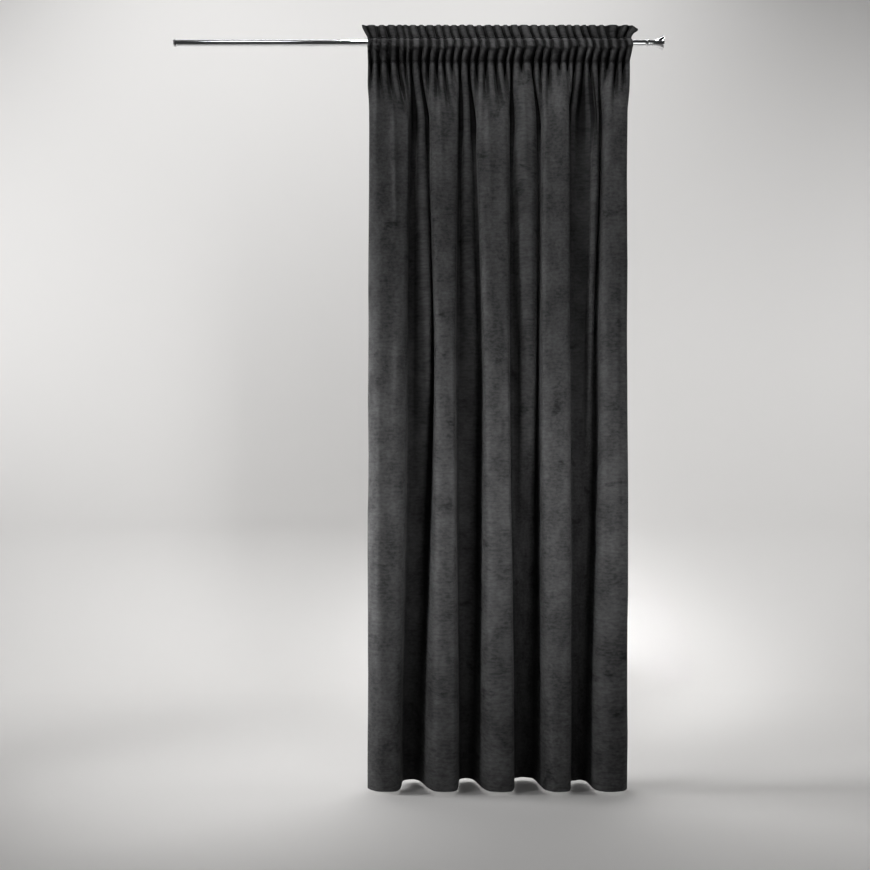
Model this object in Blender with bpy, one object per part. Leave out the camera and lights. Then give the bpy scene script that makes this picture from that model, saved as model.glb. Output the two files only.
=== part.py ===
import math

import bmesh
import bpy
import numpy as np

# A velvet curtain, gathered by its rod pocket on a chrome rod with a trumpet finial.
# Metres, +Z up. The X axis is the rod's axis, the origin is the middle of the gathered width,
# and the curtain's face looks along -Y.

# Cloth
FLAT_WIDTH = 1.68        # width between the side hems with the cloth laid flat
CLOTH = 0.002            # thickness of one layer
FRILL_TOP = 0.060        # top edge of the frill
UPPER_SEAM = 0.020       # stitch line between the frill and the rod pocket
LOWER_SEAM = -0.071      # stitch line below the rod pocket
HEM = -2.680             # bottom edge
FRILL_CLOTH = 0.003      # thickness of the frill, where the cloth is doubled

# Rod and its ends
ROD_RADIUS = 0.011
ROD_LEFT = -1.1605
ROD_RIGHT = 0.533
CAP_LENGTH = 0.008
GAP = 0.0003             # left between touching pieces
ROUND_STEPS = 32         # sides of every turned piece

# Gathers of the heading, left to right. Each row is a valley between two pleats:
# place  where it lies along the rod at the lower seam
# reach  how far below the rod it runs before the cloth is smooth again
# opens  whether it opens into one of the valleys between the folds below
PLEATS = (
    (-0.455, 0.210, False),
    (-0.427, 0.245, False),
    (-0.391, 0.275, False),
    (-0.358, 0.285, False),
    (-0.333, 0.220, False),
    (-0.312, 0.450, True),
    (-0.278, 0.450, True),
    (-0.251, 0.220, False),
    (-0.219, 0.255, False),
    (-0.193, 0.280, False),
    (-0.165, 0.170, False),
    (-0.136, 0.450, True),
    (-0.104, 0.450, True),
    (-0.075, 0.240, False),
    (-0.043, 0.255, False),
    (-0.007, 0.270, False),
    (0.025, 0.215, False),
    (0.051, 0.450, True),
    (0.086, 0.175, False),
    (0.126, 0.450, True),
    (0.155, 0.260, False),
    (0.185, 0.240, False),
    (0.223, 0.170, False),
    (0.252, 0.180, False),
    (0.277, 0.450, False),
    (0.309, 0.480, True),
    (0.334, 0.400, False),
    (0.366, 0.450, True),
    (0.395, 0.170, False),
    (0.427, 0.250, False),
    (0.453, 0.210, False),
)
HEADING_LEFT = -0.467    # side edges of the cloth at the lower seam
HEADING_RIGHT = 0.476
PLEAT_PITCH = 0.0304     # mean distance from pleat to pleat
PLEAT_DEPTH = 0.0165     # front to back, on a pleat of the mean pitch
VALLEY_FLOOR = 0.0070    # width of a valley's floor, on a pleat of the mean pitch
VALLEY_MOUTH = 0.0145    # width of its mouth
PLEAT_FADE = 0.14        # height over which a pleat runs out
EDGE_PLEAT = 0.6         # size of the half pleat at each side edge, as a share of a whole one
LEAN = 0.008             # how far the pleats are pushed to the right in front of the rod
LEAN_START = -0.36       # they stand straight left of this
LEAN_FULL = -0.20        # and lean fully right of this
KNUCKLE = -0.022         # height at which a pleat stands out and leans most
FRILL_LEAN = -0.009      # lean to the left at the top of the frill
FRILL_FLARE = 0.027      # extra width of the frill's right end
FLARE_START = 0.37       # where that flare starts
LEFT_FLARE = 0.013       # extra width of its left end
LEFT_START = -0.43       # where that one starts
FRILL_DROOP = 0.014      # how far the flared end's top corner hangs down
DROOP_WIDTH = 0.040
SLACK_END = -0.372       # left of this the pocket is only loosely gathered
SLACK_STEP = 0.02        # width over which the loose gathers turn into tight ones
SLACK = 0.75             # share of their depth that the loose ones lose

# Folds below the heading, left to right. Each row is one fold:
# top, middle, hem   its left and right edge at those heights
# run                how far its left side slopes by the hem; every right side stays steep
# deep               depth of the valley on its right by the hem, as a share of the full depth
# sinks              how far below the rod a minor fold has sunk into its valley, or 0 for the
#                    five main folds, which reach the hem
# front              how far forward it stands at first, main folds at -1 and valleys at 1
# soft               share of its front that its left corner takes
FOLDS = (
    # top             middle            hem               run    deep  sinks front  soft
    (-0.467, -0.315, -0.468, -0.328, -0.468, -0.349, 0.000, 0.80, 0.0, -1.0, 0.26),
    (-0.292, -0.256, -0.284, -0.236, -0.325, -0.297, 0.000, 0.80, 1.90, -0.7, 0.32),
    (-0.246, -0.141, -0.228, -0.153, -0.262, -0.141, 0.038, 0.95, 0.0, -1.0, 0.14),
    (-0.131, -0.092, -0.121, -0.082, -0.122, -0.098, 0.000, 0.95, 1.50, -0.2, 0.40),
    (-0.075, 0.044, -0.052, 0.044, -0.066, 0.058, 0.034, 1.10, 0.0, -1.0, 0.13),
    (0.060, 0.146, 0.080, 0.145, 0.085, 0.120, 0.000, 1.10, 2.10, -0.7, 0.66),
    (0.159, 0.260, 0.153, 0.260, 0.151, 0.260, 0.022, 0.70, 0.0, -1.0, 0.12),
    (0.336, 0.371, 0.326, 0.346, 0.293, 0.315, 0.000, 0.70, 1.85, -0.7, 0.50),
    (0.379, 0.471, 0.364, 0.471, 0.334, 0.469, 0.010, 1.00, 0.0, -1.0, 0.12),
)
FOLD_TOP = -0.30         # height at which the folds have opened fully
FOLD_MIDDLE = -1.20
MINOR_START = -0.45      # a minor fold starts to sink here
SUNK_BACK = 1.0          # where it ends, level with the two floors beside it
FLOOR_RISE = 0.12        # how far those floors come forward meanwhile
FLOOR_SPREAD = 1.25      # width of a valley's floor, as a share of its mouth
FLOOR_SHRINK = 0.5       # what that share loses as a minor fold sinks beside it
BULGE_LEFT = 0.22        # how far a fold's left corner lies behind its front
BULGE_RIGHT = 0.10       # and its right corner
HEM_SOFTER = 0.12        # how much more of a main fold's front its left corner takes at the hem
TIGHT_SIDE = 0.14        # share of a fold's front that its tight right corner takes
EDGE_BULGE = 0.40        # how far the curtain's outermost corners lie back
EDGE_TURN = 0.80         # and its side edges, turned towards the wall
EDGE_TUCK = 0.005        # how far inwards those edges turn, in metres
SHALLOWEST = 0.005       # the folds' depth either way of the middle lies between these
DEEPEST = 0.120
CURVE_STEPS = 5          # points on each rounded corner of a section

# Heights of the cloth's rows. The pocket's rows also give how far each of its two layers stands
# off the stitched line, outside first, then the height and stand-off of its inner face.
POCKET_ROWS = (
    # height, stand-off, inner height, inner stand-off
    (0.0145, 0.0200, 0.0108, 0.0200),
    (0.0000, 0.0236, 0.0000, 0.0236),
    (-0.0330, 0.0236, -0.0330, 0.0236),
)
TUNNEL_TOP = 0.0160
TUNNEL_BOTTOM = -0.0675
DRAPE_HEIGHTS = (-0.110, -0.160, -0.225, -0.300, -0.480, -0.700, -0.950, -1.200, -1.450, -1.800, -2.200, HEM)


def smooth(start, end, value):
    """Rise from 0 at start to 1 at end, level at both."""
    share = min(max((value - start) / (end - start), 0.0), 1.0)
    return share * share * (3.0 - 2.0 * share)


# ---------------------------------------------------------------- cloth, across

def pleat_columns():
    """Columns of the cloth: flat distance from its left edge, with each valley's four corners."""
    width = HEADING_RIGHT - HEADING_LEFT
    gather = FLAT_WIDTH / width
    places = [row[0] for row in PLEATS]
    bounds = [HEADING_LEFT] + places + [HEADING_RIGHT]
    columns = [dict(flat=0.0, rod=HEADING_LEFT, pleat=0, floor=False, shift=0.0, size=EDGE_PLEAT)]
    for number, place in enumerate(places):
        pitch = 0.5 * (bounds[number + 2] - bounds[number])
        size = min(pitch / PLEAT_PITCH, 1.0)
        centre = (place - HEADING_LEFT) * gather
        for side, floor in ((-1, False), (-1, True), (1, True), (1, False)):
            reach = 0.5 * VALLEY_FLOOR * size
            mouth = reach
            if not floor:
                reach += PLEAT_DEPTH * size
                mouth = 0.5 * VALLEY_MOUTH * size
            columns.append(dict(
                flat=centre + side * reach,
                rod=place + side * reach / gather,
                pleat=number,
                floor=floor,
                shift=side * (mouth - reach / gather),
                size=size,
            ))
    end = dict(columns[0], flat=FLAT_WIDTH, rod=HEADING_RIGHT, pleat=len(PLEATS) - 1)
    return columns + [end]


COLUMNS = pleat_columns()
FLAT = np.array([column["flat"] for column in COLUMNS])
ROD_PLACE = np.array([column["rod"] for column in COLUMNS])


def fold_edges(fold, height):
    """Left and right edge of one fold at one height."""
    top, middle, hem = fold[0:2], fold[2:4], fold[4:6]
    if height > FOLD_MIDDLE:
        share = smooth(FOLD_TOP, FOLD_MIDDLE, height)
        return [a + share * (b - a) for a, b in zip(top, middle)]
    share = smooth(FOLD_MIDDLE, HEM, height)
    return [a + share * (b - a) for a, b in zip(middle, hem)]


def fold_corners(height):
    """Corners of the folded section: x in metres, y from -1 at the front to 1 at the back."""
    sunk = [smooth(MINOR_START, -fold[8], height) if fold[8] else 0.0 for fold in FOLDS]
    edges = [fold_edges(fold, height) for fold in FOLDS]
    lowered = smooth(FOLD_TOP, HEM, height)
    sloped = smooth(FOLD_MIDDLE, HEM, height)
    runs = [0.5 * fold[6] * sloped for fold in FOLDS]
    corners = [(edges[0][0] + EDGE_TUCK, -1.0 + EDGE_TURN)]
    for number, fold in enumerate(FOLDS):
        left, right = edges[number]
        deep = 1.0 + (fold[7] - 1.0) * lowered
        front = fold[9] + (SUNK_BACK * deep - fold[9]) * sunk[number]
        left += runs[number]
        soft = (fold[10] + HEM_SOFTER * sloped) * (right - left)
        tight = TIGHT_SIDE * (right - left)
        bulge_left = EDGE_BULGE if number == 0 else BULGE_LEFT * (1.0 - sunk[number])
        bulge_right = EDGE_BULGE if fold is FOLDS[-1] else BULGE_RIGHT * (1.0 - sunk[number])
        corners += [(left, front + bulge_left), (left + soft, front)]
        corners += [(right - tight, front), (right, front + bulge_right)]
        if number + 1 < len(FOLDS):
            next_left = edges[number + 1][0] - runs[number + 1]
            share = max(sunk[number], sunk[number + 1])
            half = 0.5 * (next_left - right) * (FLOOR_SPREAD - FLOOR_SHRINK * share)
            middle = 0.5 * (right + next_left)
            back = deep - FLOOR_RISE * share
            corners += [(middle - half, back), (middle + half, back)]
    corners.append((edges[-1][1] - EDGE_TUCK, -1.0 + EDGE_TURN))
    return np.array(corners)


def rounded(corners):
    """A smooth line that touches the middle of each side of the cornered one."""
    points = [corners[0]]
    for before, corner, after in zip(corners[:-2], corners[1:-1], corners[2:]):
        start, end = 0.5 * (before + corner), 0.5 * (corner + after)
        for step in range(CURVE_STEPS):
            t = step / CURVE_STEPS
            points.append((1 - t) ** 2 * start + 2 * t * (1 - t) * corner + t * t * end)
    points.append(0.5 * (corners[-2] + corners[-1]))
    points.append(corners[-1])
    return np.array(points)


def distances(line):
    """Distance along a line, at each of its points."""
    steps = np.linalg.norm(np.diff(line, axis=0), axis=1)
    return np.concatenate(([0.0], np.cumsum(steps)))


def folded_line(height):
    """The folded section at one height, as deep as the cloth's width allows, at each column."""
    corners = fold_corners(height)
    low, high = SHALLOWEST, DEEPEST
    for _ in range(24):
        depth = 0.5 * (low + high)
        line = rounded(corners * (1.0, depth))
        along = distances(line)
        if along[-1] < FLAT_WIDTH:
            low = depth
        else:
            high = depth
    valleys = range(len(FOLDS) - 1)
    anchors = [along[1 + (5 + 6 * valley) * CURVE_STEPS] for valley in valleys]
    gather = FLAT_WIDTH / (HEADING_RIGHT - HEADING_LEFT)
    opened = [(row[0] - HEADING_LEFT) * gather for row in PLEATS if row[2]]
    flat_marks = [0.0] + opened + [FLAT_WIDTH]
    line_marks = [0.0] + anchors + [along[-1]]
    at = np.interp(FLAT, flat_marks, line_marks)
    return np.column_stack([np.interp(at, along, line[:, 0]), np.interp(at, along, line[:, 1])])


SHARPEST_TURN = 0.6      # limits how far a sharp corner's offset is stretched


def miter(line):
    """Offset directions of a line, towards the back, that keep a constant thickness."""
    steps = np.diff(line, axis=0)
    steps /= np.linalg.norm(steps, axis=1)[:, None]
    normals = np.column_stack([-steps[:, 1], steps[:, 0]])
    before = np.vstack([normals[:1], normals])
    after = np.vstack([normals, normals[-1:]])
    turn = np.maximum(1.0 + (before * after).sum(axis=1), SHARPEST_TURN)
    return (before + after) / turn[:, None]


def sheet_line(height):
    """Centre line of the cloth at one height, with its folds and the pleats that reach it."""
    opened = smooth(LOWER_SEAM, FOLD_TOP, height)
    straight = np.column_stack([ROD_PLACE, np.zeros(len(ROD_PLACE))])
    base = straight
    if opened > 0.0:
        base = (1.0 - opened) * straight + opened * folded_line(height)
    across = np.gradient(base, axis=0)
    across /= np.linalg.norm(across, axis=1)[:, None]
    back = np.column_stack([-across[:, 1], across[:, 0]])

    in_pocket = smooth(LOWER_SEAM, 2.0 * KNUCKLE, height) * smooth(UPPER_SEAM, 0.0, height)
    line = base.copy()
    for number, column in enumerate(COLUMNS):
        place, reach, _ = PLEATS[column["pleat"]]
        amount = smooth(-reach, -reach + PLEAT_FADE, height)
        slack = 1.0 - smooth(SLACK_END - SLACK_STEP, SLACK_END, place)
        amount *= 1.0 - SLACK * slack * in_pocket
        depth = PLEAT_DEPTH * column["size"]
        out = -0.5 * depth * (1.0 - opened)
        if column["floor"]:
            out += depth * amount
        shift = column["shift"] * amount * (1.0 - opened)
        line[number] += back[number] * out + across[number] * shift

    knuckle = smooth(LOWER_SEAM, KNUCKLE, height) * smooth(2.0 * UPPER_SEAM, KNUCKLE, height)
    frill = smooth(0.5 * UPPER_SEAM, FRILL_TOP, height)
    for number, place in enumerate(ROD_PLACE):
        line[number, 0] += LEAN * knuckle * smooth(LEAN_START, LEAN_FULL, place) + FRILL_LEAN * frill
        line[number, 0] += (FRILL_FLARE - FRILL_LEAN) * frill * smooth(FLARE_START, HEADING_RIGHT, place)
        line[number, 0] -= LEFT_FLARE * frill * (1.0 - smooth(HEADING_LEFT, LEFT_START, place))
    return line


# ---------------------------------------------------------------- cloth, as one solid

def surface_row(mesh, height, stand_off, skin):
    """One row of vertices: the sheet moved out by stand_off, then by skin across its thickness."""
    line = sheet_line(height)
    line = line + miter(line) * skin
    droop = FRILL_DROOP * smooth(UPPER_SEAM, FRILL_TOP, height)
    row = []
    for (x, y), place in zip(line, ROD_PLACE):
        z = height - droop * smooth(HEADING_RIGHT - DROOP_WIDTH, HEADING_RIGHT, place)
        row.append(mesh.verts.new((x, y + stand_off, z)))
    return row


def skin_rows(mesh, rows):
    """Faces between each row and the next."""
    for upper, lower in zip(rows[:-1], rows[1:]):
        for number in range(len(upper) - 1):
            mesh.faces.new((upper[number], upper[number + 1], lower[number + 1], lower[number]))


def cloth_mesh():
    """The frill, the two layers of the rod pocket and the hanging cloth, in one closed skin."""
    mesh = bmesh.new()
    half, frill_half = 0.5 * CLOTH, 0.5 * FRILL_CLOTH

    def side(sign):
        rows = [surface_row(mesh, FRILL_TOP, 0.0, sign * frill_half)]
        rows.append(surface_row(mesh, UPPER_SEAM, 0.0, sign * frill_half))
        rows += [surface_row(mesh, z, sign * off, sign * half) for z, off, _, _ in POCKET_ROWS]
        rows.append(surface_row(mesh, LOWER_SEAM, 0.0, sign * half))
        rows += [surface_row(mesh, z, 0.0, sign * half) for z in DRAPE_HEIGHTS]
        return rows

    front, back = side(-1), side(1)
    tunnel_top = surface_row(mesh, TUNNEL_TOP, 0.0, 0.0)
    tunnel_bottom = surface_row(mesh, TUNNEL_BOTTOM, 0.0, 0.0)

    def lining(sign):
        rows = [surface_row(mesh, z, sign * off, -sign * half) for _, _, z, off in POCKET_ROWS]
        return [tunnel_top] + rows + [tunnel_bottom]

    inner_front, inner_back = lining(-1), lining(1)

    skin_rows(mesh, front)
    skin_rows(mesh, back)
    skin_rows(mesh, [front[0], back[0]])
    skin_rows(mesh, [front[-1], back[-1]])
    skin_rows(mesh, inner_front)
    skin_rows(mesh, inner_back)

    pocket = slice(1, 1 + len(inner_front))
    for end in (0, -1):
        frill = (front[0][end], front[1][end], back[1][end], back[0][end])
        mesh.faces.new(frill)
        mesh.faces.new((front[1][end], tunnel_top[end], back[1][end]))
        for outer, inner in ((front[pocket], inner_front), (back[pocket], inner_back)):
            for upper in range(len(inner) - 1):
                lower = upper + 1
                mesh.faces.new((outer[upper][end], outer[lower][end], inner[lower][end], inner[upper][end]))
        seam = pocket.stop - 1
        mesh.faces.new((front[seam][end], tunnel_bottom[end], back[seam][end]))
        for upper in range(seam, len(front) - 1):
            lower = upper + 1
            mesh.faces.new((front[upper][end], front[lower][end], back[lower][end], back[upper][end]))
    bmesh.ops.recalc_face_normals(mesh, faces=mesh.faces)
    return mesh


# ---------------------------------------------------------------- turned pieces

def turned(profile):
    """A solid turned about the X axis from (x, radius) pairs; a radius of 0 closes an end."""
    mesh = bmesh.new()
    rings = []
    for x, radius in profile:
        if radius == 0.0:
            rings.append([mesh.verts.new((x, 0.0, 0.0))])
            continue
        angles = [2.0 * math.pi * step / ROUND_STEPS for step in range(ROUND_STEPS)]
        rings.append([mesh.verts.new((x, radius * math.cos(a), radius * math.sin(a))) for a in angles])
    for ring, following in zip(rings[:-1], rings[1:]):
        for step in range(ROUND_STEPS):
            onward = (step + 1) % ROUND_STEPS
            corners = [ring[step % len(ring)], ring[onward % len(ring)],
                       following[onward % len(following)], following[step % len(following)]]
            mesh.faces.new(list(dict.fromkeys(corners)))
    bmesh.ops.recalc_face_normals(mesh, faces=mesh.faces)
    return mesh


def rod_profile():
    return [(ROD_LEFT + GAP, 0.0), (ROD_LEFT + GAP, ROD_RADIUS),
            (ROD_RIGHT, ROD_RADIUS), (ROD_RIGHT, 0.0)]


CAP_WALL = 0.001         # how far the cap stands out around the rod
CAP_BEVEL = 0.0015


def cap_profile():
    """A plain flat cap, a little wider than the rod, with a broken outer corner."""
    face, radius = ROD_LEFT - CAP_LENGTH, ROD_RADIUS + CAP_WALL
    return [(face, 0.0), (face, radius - CAP_BEVEL), (face + CAP_BEVEL, radius),
            (ROD_LEFT, radius), (ROD_LEFT, 0.0)]


COLLAR_START = ROD_RIGHT + GAP
COLLAR_LENGTH = 0.0245


def collar_profile():
    """A waist, a broad band, a fine bead and a second waist."""
    steps = (
        # from the rod's end, radius
        (0.0000, 0.0100),
        (0.0055, 0.0100),
        (0.0065, 0.0126),
        (0.0160, 0.0126),
        (0.0168, 0.0108),
        (0.0178, 0.0108),
        (0.0186, 0.0120),
        (0.0206, 0.0120),
        (0.0214, 0.0100),
        (COLLAR_LENGTH, 0.0100),
    )
    profile = [(COLLAR_START, 0.0)]
    profile += [(COLLAR_START + along, radius) for along, radius in steps]
    return profile + [(COLLAR_START + COLLAR_LENGTH, 0.0)]


TRUMPET_START = COLLAR_START + COLLAR_LENGTH + GAP
TRUMPET_LENGTH = 0.0395
TRUMPET_NECK = 0.0112
TRUMPET_MOUTH = 0.0250
TRUMPET_DISH = 0.006     # depth of the hollow in its end
TRUMPET_LIP = 0.0022     # thickness of its lip
LIP_SWELL = 0.0004       # how far the lip's middle stands out
LIP_ROUND = 0.0006       # and how far its outer corner is rounded off
FLARE_POWER = 1.9        # the flare is slow at the neck and fast at the mouth
FLARE_RINGS = 8


def trumpet_profile():
    """A horn that flares faster towards its mouth, with a rounded lip and a dished end."""
    profile = [(TRUMPET_START, 0.0)]
    flare = TRUMPET_LENGTH - TRUMPET_LIP
    for step in range(FLARE_RINGS):
        share = step / (FLARE_RINGS - 1)
        radius = TRUMPET_NECK + (TRUMPET_MOUTH - TRUMPET_NECK) * share ** FLARE_POWER
        profile.append((TRUMPET_START + flare * share, radius))
    end = TRUMPET_START + TRUMPET_LENGTH
    profile.append((end - 0.5 * TRUMPET_LIP, TRUMPET_MOUTH + LIP_SWELL))
    profile.append((end, TRUMPET_MOUTH - LIP_ROUND))
    profile.append((end, TRUMPET_MOUTH - TRUMPET_LIP))
    for share in (0.75, 0.5, 0.25):
        radius = (TRUMPET_MOUTH - TRUMPET_LIP) * share
        profile.append((end - TRUMPET_DISH * (1.0 - share ** 2), radius))
    profile.append((end - TRUMPET_DISH, 0.0))
    return profile


# ---------------------------------------------------------------- materials and objects

def material(name, color, roughness, metallic):
    made = bpy.data.materials.new(name)
    made.use_nodes = True
    shader = made.node_tree.nodes["Principled BSDF"]
    shader.inputs["Base Color"].default_value = (*color, 1.0)
    shader.inputs["Roughness"].default_value = roughness
    shader.inputs["Metallic"].default_value = metallic
    return made


def add_object(name, mesh, look, crease_angle):
    """Turn a bmesh into a named object, smooth but for edges sharper than the angle."""
    data = bpy.data.meshes.new(name)
    mesh.to_mesh(data)
    mesh.free()
    data.shade_smooth()
    data.set_sharp_from_angle(angle=math.radians(crease_angle))
    data.materials.append(look)
    made = bpy.data.objects.new(name, data)
    bpy.context.scene.collection.objects.link(made)
    return made


for leftover in list(bpy.data.objects):
    bpy.data.objects.remove(leftover, do_unlink=True)

velvet = material("charcoal_velvet", (0.035, 0.035, 0.036), 0.85, 0.0)
chrome = material("polished_chrome", (0.62, 0.63, 0.64), 0.12, 1.0)
satin = material("satin_cap", (0.45, 0.45, 0.46), 0.35, 1.0)

add_object("velvet_panel", cloth_mesh(), velvet, 60)
add_object("rod", turned(rod_profile()), chrome, 30)
add_object("end_cap", turned(cap_profile()), satin, 30)
add_object("finial_collar", turned(collar_profile()), chrome, 30)
add_object("finial_trumpet", turned(trumpet_profile()), chrome, 30)
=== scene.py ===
import math
import random

import bmesh
import bpy
import numpy as np
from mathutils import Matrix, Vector, noise


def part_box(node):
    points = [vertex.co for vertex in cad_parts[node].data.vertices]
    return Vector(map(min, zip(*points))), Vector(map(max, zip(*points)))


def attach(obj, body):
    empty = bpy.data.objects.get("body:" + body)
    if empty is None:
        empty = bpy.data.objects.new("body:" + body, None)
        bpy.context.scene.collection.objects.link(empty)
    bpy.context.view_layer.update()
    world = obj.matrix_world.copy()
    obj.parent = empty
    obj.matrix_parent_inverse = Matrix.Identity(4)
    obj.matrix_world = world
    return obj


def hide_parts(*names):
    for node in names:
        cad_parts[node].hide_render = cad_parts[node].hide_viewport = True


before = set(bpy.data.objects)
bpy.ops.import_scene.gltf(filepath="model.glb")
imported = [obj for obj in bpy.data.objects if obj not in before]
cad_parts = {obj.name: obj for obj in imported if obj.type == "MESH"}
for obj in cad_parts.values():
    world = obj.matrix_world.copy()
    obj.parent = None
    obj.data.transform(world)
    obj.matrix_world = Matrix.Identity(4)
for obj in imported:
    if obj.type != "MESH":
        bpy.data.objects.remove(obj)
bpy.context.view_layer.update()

rodLow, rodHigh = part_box("rod")
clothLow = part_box("velvet_panel")[0]
print("frame loaded:", sorted(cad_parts))


# ---- the cut of the curtain, in metres; the rod's axis is the X axis ----

panel = {
    "flatWidth": 1.68,
    "thickness": 0.0011,
    "layerStep": 0.0014,       # from one layer to the next where the cloth is doubled
    "frillTop": 0.060,
    "upperSeam": 0.0145,
    "lowerSeam": -0.071,
    "hem": clothLow.z,
    "bottomHem": 0.080,        # height of the turned-up hem
    "sideHem": 0.030,
    "sideFade": 0.012,         # the side hems blend into the single cloth over this width
    "seamAllowance": 0.010,    # the turned edge hangs this far below the lower seam
    "stitchEdge": 0.003,       # from a turned edge to the stitches that hold it
    "headingLeft": -0.467,
    "headingRight": 0.476,
}
fullness = panel["flatWidth"] / (panel["headingRight"] - panel["headingLeft"])

# the gathers of the heading: place of each valley, how far below the rod it runs, and whether
# it opens into a valley between the folds
pleats = (
    (-0.455, 0.215, False),
    (-0.427, 0.260, False),
    (-0.391, 0.290, False),
    (-0.358, 0.310, False),
    (-0.333, 0.240, False),
    (-0.312, 0.450, True),
    (-0.278, 0.450, True),
    (-0.251, 0.240, False),
    (-0.219, 0.280, False),
    (-0.193, 0.310, False),
    (-0.165, 0.200, False),
    (-0.136, 0.450, True),
    (-0.104, 0.450, True),
    (-0.075, 0.260, False),
    (-0.043, 0.290, False),
    (-0.007, 0.300, False),
    (0.025, 0.240, False),
    (0.051, 0.450, True),
    (0.086, 0.200, False),
    (0.126, 0.450, True),
    (0.155, 0.280, False),
    (0.185, 0.260, False),
    (0.223, 0.190, False),
    (0.252, 0.200, False),
    (0.277, 0.450, False),
    (0.309, 0.480, True),
    (0.334, 0.420, False),
    (0.366, 0.450, True),
    (0.395, 0.190, False),
    (0.427, 0.270, False),
    (0.453, 0.230, False),
)

gather = {
    "pitch": 0.0304,
    "depth": 0.0165,
    "floor": 0.0065,
    "mouth": 0.0145,
    "fade": 0.150,             # a gather dies out over this height
    "steps": 3,                # points that round off each corner of a gather
    "endSize": 0.6,            # size of the half gathers at the curtain's edges
    "smallest": 0.90,          # size of the smallest pleat as a share of the full one
    "puffFrom": -0.045,        # the pocket's pleats differ in depth above this height
    "puffUneven": 0.22,
    "slackEnd": -0.372,        # to the left of this the pocket is slack, and its gathers shallow
    "slackFade": 0.020,
    "slackLoss": 0.75,
}

# the frill above the upper seam
frill = {
    "start": 0.010,            # its changes start this far below the seam
    "deeper": 0.50,            # its gathers are deeper by this share, each by a little more or less
    "uneven": 0.10,
    "gap": 1.6,                # how much wider the floors of its gathers are
    "forward": 0.008,          # it stands this far in front of the rod's axis
    "forwardFrom": 0.009,
    "lean": -0.009,
    "leanUneven": 0.0025,
    "flare": 0.027,            # how far its right end flares out, and from where
    "flareFrom": 0.37,
    "leftFlare": 0.013,
    "leftFlareTo": -0.43,
    "droop": 0.014,            # how far the flared end's top corner hangs down
    "droopFrom": 0.003,
    "wave": 0.0014,            # unevenness of the top edge
    "waves": 22.0,
    "crush": 0.30,             # how far its standing pleats are pressed down at the top
}

# the folds below: left and right edge at the top, in the middle and at the hem, how far the left
# side slopes by the hem, how deep the valley on its right is there, the depth below the rod at
# which a minor fold has sunk away, or 0 for the five that reach the hem, how far forward it
# stands at first, and the share of its front that its left corner takes
folds = (
    # top, middle, hem, run, deep, sinks, front, soft
    (-0.467, -0.315, -0.468, -0.328, -0.468, -0.349, 0.000, 0.80, 0.0, -1.0, 0.26),
    (-0.292, -0.256, -0.284, -0.236, -0.325, -0.297, 0.000, 0.80, 1.90, -0.82, 0.32),
    (-0.246, -0.141, -0.228, -0.153, -0.262, -0.141, 0.038, 0.95, 0.0, -1.0, 0.14),
    (-0.131, -0.092, -0.121, -0.082, -0.122, -0.098, 0.000, 0.95, 1.50, -0.2, 0.40),
    (-0.075, 0.044, -0.052, 0.044, -0.066, 0.058, 0.034, 1.10, 0.0, -1.0, 0.13),
    (0.060, 0.146, 0.080, 0.145, 0.085, 0.120, 0.000, 1.10, 2.10, -0.82, 0.60),
    (0.159, 0.260, 0.153, 0.260, 0.151, 0.260, 0.022, 0.70, 0.0, -1.0, 0.12),
    (0.336, 0.371, 0.326, 0.346, 0.293, 0.315, 0.000, 0.70, 1.85, -0.7, 0.50),
    (0.379, 0.471, 0.364, 0.471, 0.334, 0.469, 0.010, 1.00, 0.0, -1.0, 0.12),
)

drape = {
    "top": -0.30,              # the folds have opened fully here
    "middle": -1.20,
    "minorStart": -0.45,
    "sunkBack": 1.0,
    "floorRise": 0.12,
    "floorSpread": 1.25,
    "floorShrink": 0.5,
    "bulgeLeft": 0.22,         # how far a fold's corners lie behind its front
    "bulgeRight": 0.10,
    "hemSofter": 0.12,         # how much softer a fold's left corner is at the hem
    "tightSide": 0.14,         # share of a fold's front taken by its tight right corner
    "tightSofter": 0.14,       # how much softer that corner is at the hem
    "edgeBulge": 0.40,         # the curtain's outermost corners lie further back
    "edgeTurn": 0.80,
    "edgeTuck": 0.005,
    "curveSteps": 6,
    "shallowest": 0.005,       # the folds' depth is sought between these two
    "deepest": 0.120,
    "tries": 20,
}

# the front of the rod pocket from the lower seam up: how far it stands off, its height, and how
# deep the gathers are there, as a share of their full depth
pocketShape = (
    (0.0007, -0.0710, 1.70),
    (0.0060, -0.0640, 1.62),
    (0.0115, -0.0550, 1.45),
    (0.0160, -0.0450, 1.30),
    (0.0195, -0.0365, 1.18),
    (0.0225, -0.0325, 1.10),
    (0.0282, -0.0280, 1.06),
    (0.0264, -0.0190, 1.02),
    (0.0243, -0.0080, 0.90),
    (0.0210, 0.0000, 0.76),
    (0.0174, 0.0050, 0.60),
    (0.0121, 0.0100, 0.42),
    (0.0081, 0.0125, 0.42),
    (0.0045, 0.0140, 0.60),
    (0.0007, 0.0145, 0.90),
)

# the knuckles that the gathers form over the rod
knuckles = {
    "slant": 0.0080,           # each one's lip runs down to the right by twice this
    "uneven": 0.0050,
    "lip": -0.027,             # height of the lip
    "reach": 0.036,            # how far above and below it the cloth is drawn along
    "wrinkle": 0.0042,         # small wrinkles in the slack left end of the pocket
    "wrinkleWide": 0.030,
    "wrinkleTall": 0.026,
    "wrinkleSlant": 0.09,
    "wrinkleBend": 0.35,
    "wrinkleUneven": 0.3,
    "lean": 0.008,             # how far they lean to the right at their height
    "leanUneven": 0.35,
    "leanFrom": -0.36,         # those on the left end don't lean
    "leanFull": -0.20,
    "height": -0.022,
    "heightUneven": 0.006,
    "above": 0.020,            # the lean dies out this far above the upper seam
}


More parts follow.
